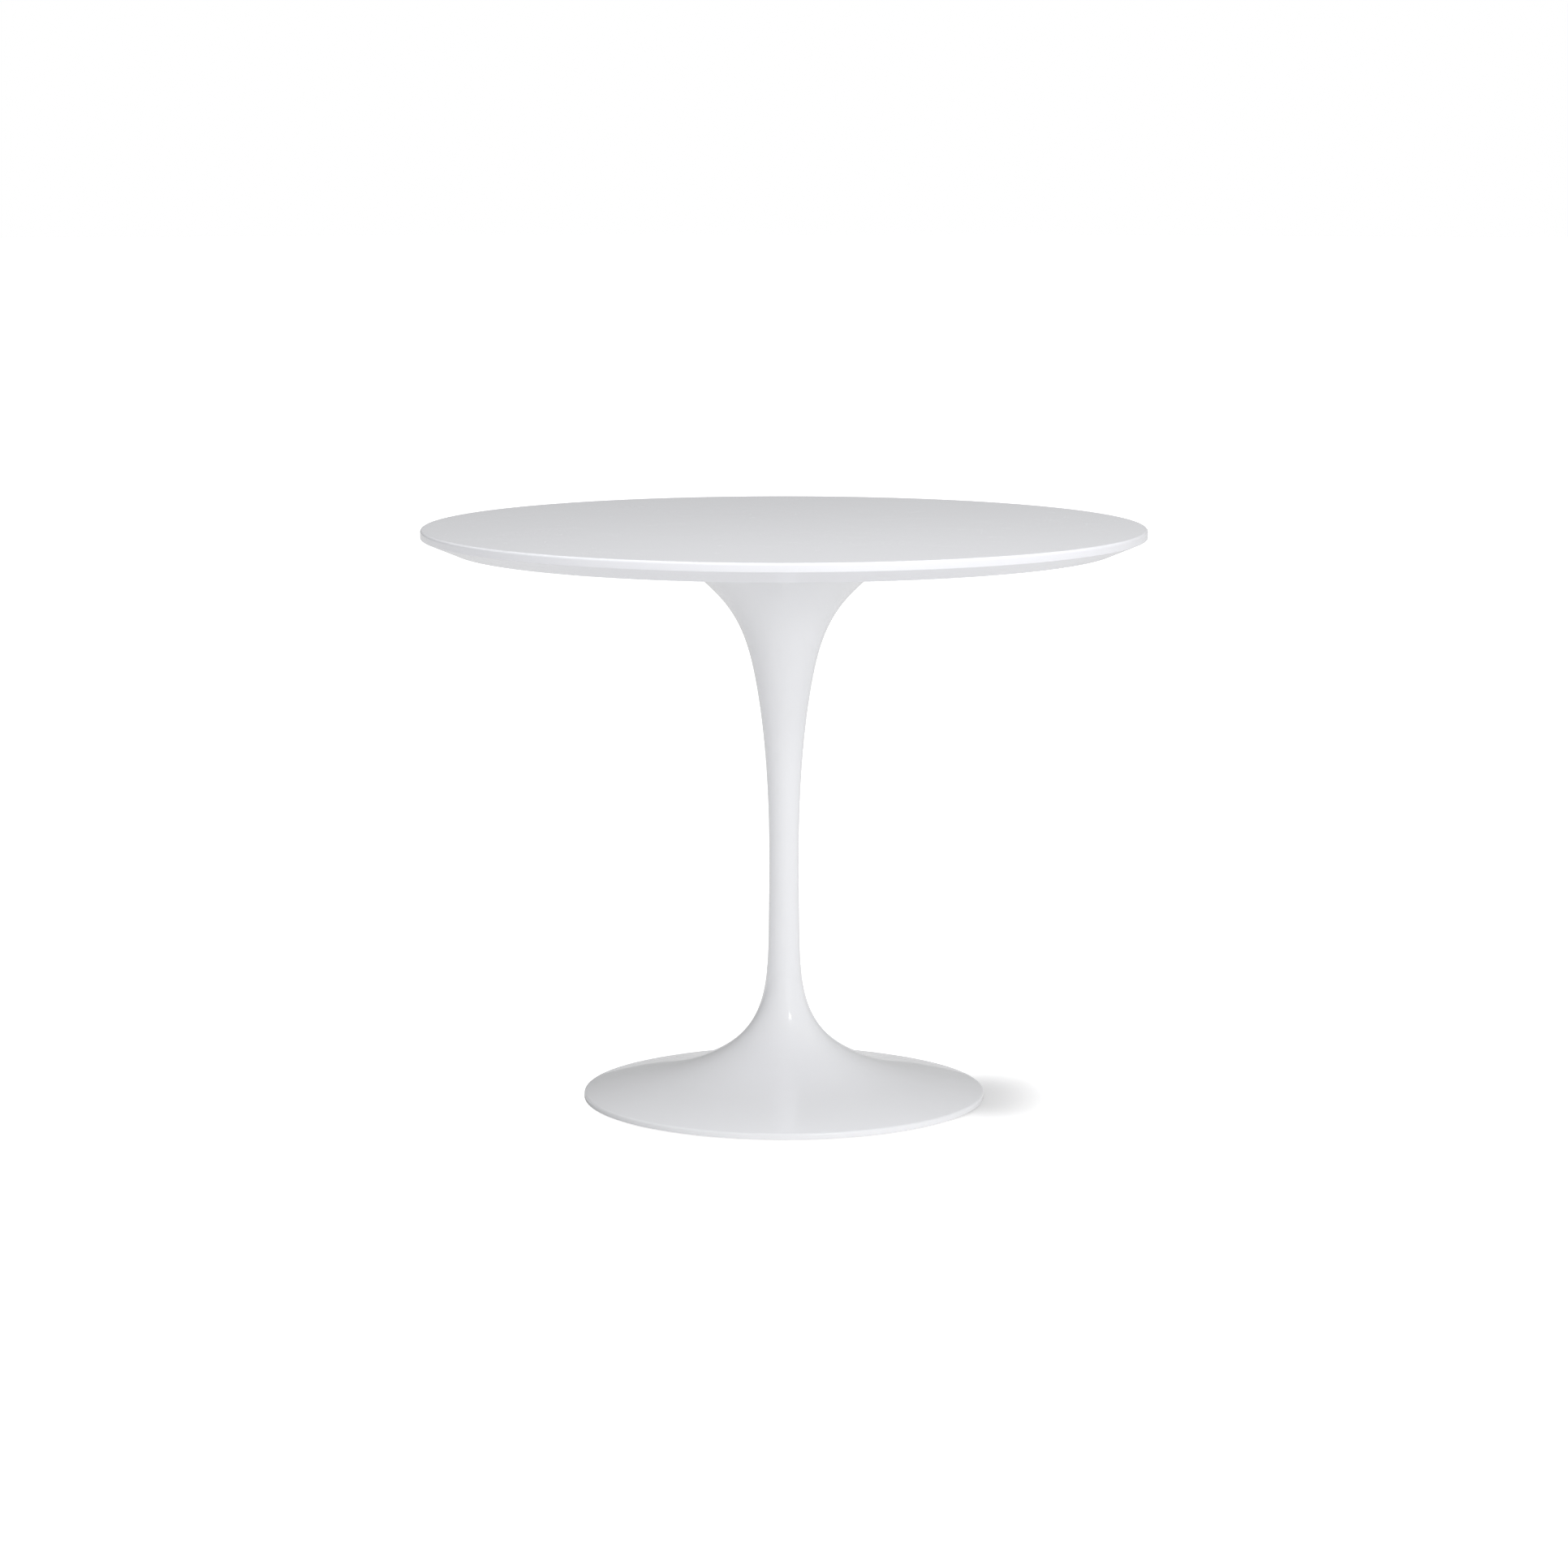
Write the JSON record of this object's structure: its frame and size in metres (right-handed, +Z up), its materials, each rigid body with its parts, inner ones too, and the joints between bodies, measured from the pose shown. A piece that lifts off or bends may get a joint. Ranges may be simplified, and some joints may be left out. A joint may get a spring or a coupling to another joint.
{
  "type": "round pedestal table",
  "caption": "Round dining table with a thin bevelled top on a flared one-piece pedestal and a broad round foot with levelling glides.",
  "frame": {"origin": "on the floor, on the pedestal's axis", "axes": "+Z up along the pedestal's axis; +X and +Y are level and otherwise free, because the table is round; the glides stand at 45 degrees between them"},
  "size_m": [0.9143, 0.9144, 0.733],
  "materials": {
    "top_lacquer": "satin",
    "pedestal_coat": "satin",
    "plate_coat": "matte",
    "zinc_steel": "satin",
    "spring_steel": "satin",
    "insert_brass": "satin",
    "glide_nylon": "matte"
  },
  "bodies": {
    "table": {"tabletop": "top_lacquer", "top_inserts": "insert_brass", "hub_plate": "plate_coat", "hub_screws": "zinc_steel", "hub_washers": "zinc_steel", "rod_coupling": "zinc_steel", "rod_jam_nut": "zinc_steel", "pedestal": "pedestal_coat", "tie_rod": "zinc_steel", "clamp_washer": "zinc_steel", "spring_washer": "spring_steel", "clamp_nut": "zinc_steel", "ballast_plate": "plate_coat", "ballast_screws": "zinc_steel"},
    "pad_1": {"glide_pad_1": "glide_nylon"},
    "screw_1": {"glide_screw_1": "zinc_steel"},
    "pad_2": {"glide_pad_2": "glide_nylon"},
    "screw_2": {"glide_screw_2": "zinc_steel"},
    "pad_3": {"glide_pad_3": "glide_nylon"},
    "screw_3": {"glide_screw_3": "zinc_steel"},
    "pad_4": {"glide_pad_4": "glide_nylon"},
    "screw_4": {"glide_screw_4": "zinc_steel"}
  },
  "joints": [
    {"name": "glide_1_lower", "type": "slide", "parent": "table", "child": "pad_1", "axis": [0, 0, -1], "range_m": [0, 0.005]},
    {"name": "glide_1_turn", "type": "hinge", "parent": "pad_1", "child": "screw_1", "pos_m": [0.15981, 0.15981, 0.005], "axis": [0, 0, -1], "range_deg": [0, 1440]},
    {"name": "glide_2_lower", "type": "slide", "parent": "table", "child": "pad_2", "axis": [0, 0, -1], "range_m": [0, 0.005]},
    {"name": "glide_2_turn", "type": "hinge", "parent": "pad_2", "child": "screw_2", "pos_m": [-0.15981, 0.15981, 0.005], "axis": [0, 0, -1], "range_deg": [0, 1440]},
    {"name": "glide_3_lower", "type": "slide", "parent": "table", "child": "pad_3", "axis": [0, 0, -1], "range_m": [0, 0.005]},
    {"name": "glide_3_turn", "type": "hinge", "parent": "pad_3", "child": "screw_3", "pos_m": [-0.15981, -0.15981, 0.005], "axis": [0, 0, -1], "range_deg": [0, 1440]},
    {"name": "glide_4_lower", "type": "slide", "parent": "table", "child": "pad_4", "axis": [0, 0, -1], "range_m": [0, 0.005]},
    {"name": "glide_4_turn", "type": "hinge", "parent": "pad_4", "child": "screw_4", "pos_m": [0.15981, -0.15981, 0.005], "axis": [0, 0, -1], "range_deg": [0, 1440]}
  ],
  "couplings": [
    {"joint": "glide_1_turn", "follows": "glide_1_lower", "rad_per_m": 5026.5},
    {"joint": "glide_2_turn", "follows": "glide_2_lower", "rad_per_m": 5026.5},
    {"joint": "glide_3_turn", "follows": "glide_3_lower", "rad_per_m": 5026.5},
    {"joint": "glide_4_turn", "follows": "glide_4_lower", "rad_per_m": 5026.5}
  ]
}
